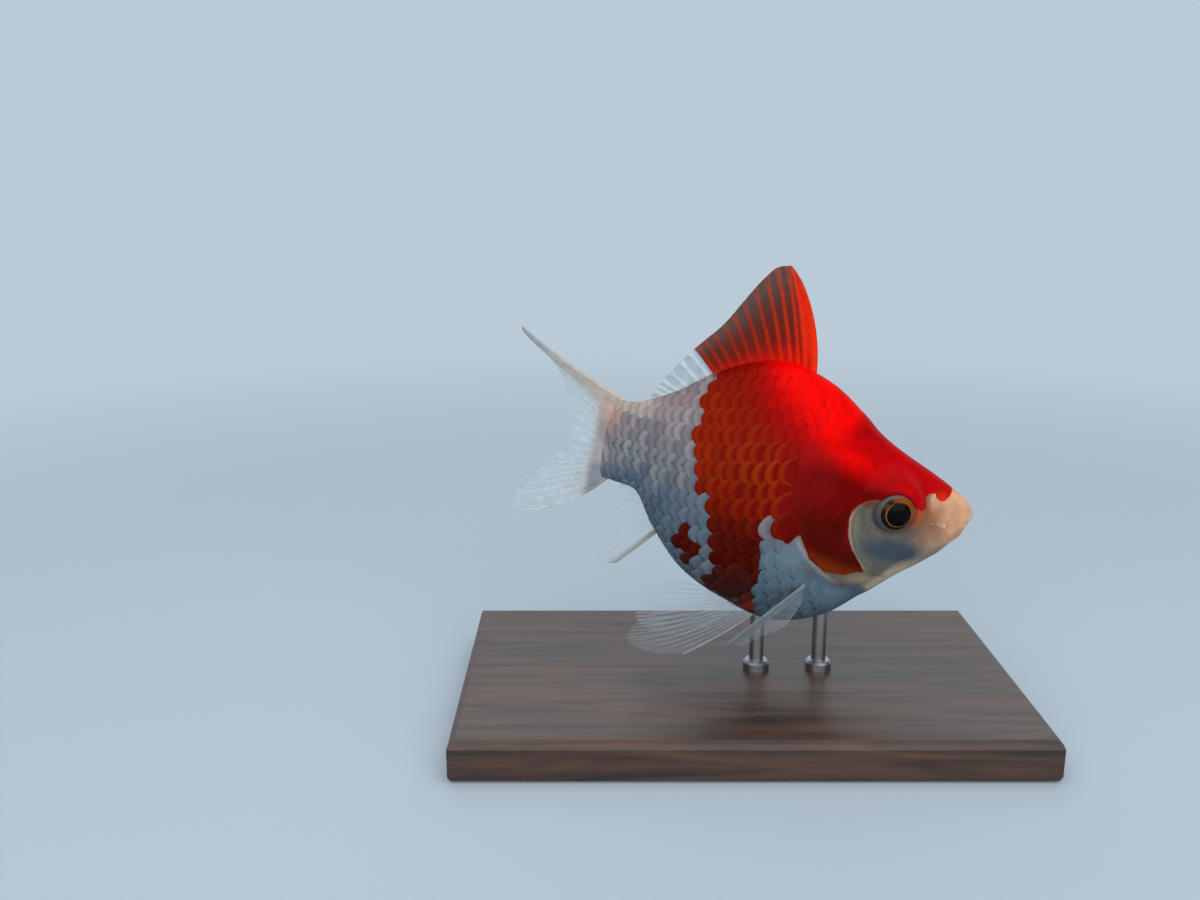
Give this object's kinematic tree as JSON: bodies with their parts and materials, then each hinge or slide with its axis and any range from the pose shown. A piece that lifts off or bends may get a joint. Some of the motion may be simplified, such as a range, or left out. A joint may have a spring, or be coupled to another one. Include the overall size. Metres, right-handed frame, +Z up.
{
  "type": "goldfish",
  "caption": "Life-size single-tailed goldfish with a deep body and a tall dorsal fin, swimming nose-down, held on a flat wooden base by short steel rods.",
  "frame": {"origin": "centre of the underside of the stand's base", "axes": "+X towards the fish's snout, +Y towards its left side, +Z up"},
  "size_m": [0.096, 0.056, 0.0779],
  "materials": {
    "red_skin": "wet scarlet and orange skin over scales",
    "pale_skin": "wet pearl skin",
    "eye": "clear gloss",
    "red_fin": "translucent red fin",
    "clear_fin": "translucent white fin",
    "stand_wood": "dark satin lacquer",
    "stand_steel": "satin"
  },
  "bodies": {
    "root": {"head": "red_skin", "lower_jaw": "pale_skin", "gill_cover_right": "red_skin", "gill_cover_left": "red_skin", "trunk": "red_skin", "tail_stem": "pale_skin", "eye_right": "eye", "eye_left": "eye", "dorsal_fin": "red_fin", "tail_fin": "clear_fin", "anal_fin": "clear_fin", "pelvic_fin_right": "clear_fin", "pelvic_fin_left": "clear_fin", "pectoral_fin_right": "clear_fin", "pectoral_fin_left": "clear_fin", "stand_base": "stand_wood", "stand_rod_front": "stand_steel", "stand_rod_rear": "stand_steel"}
  },
  "joints": []
}
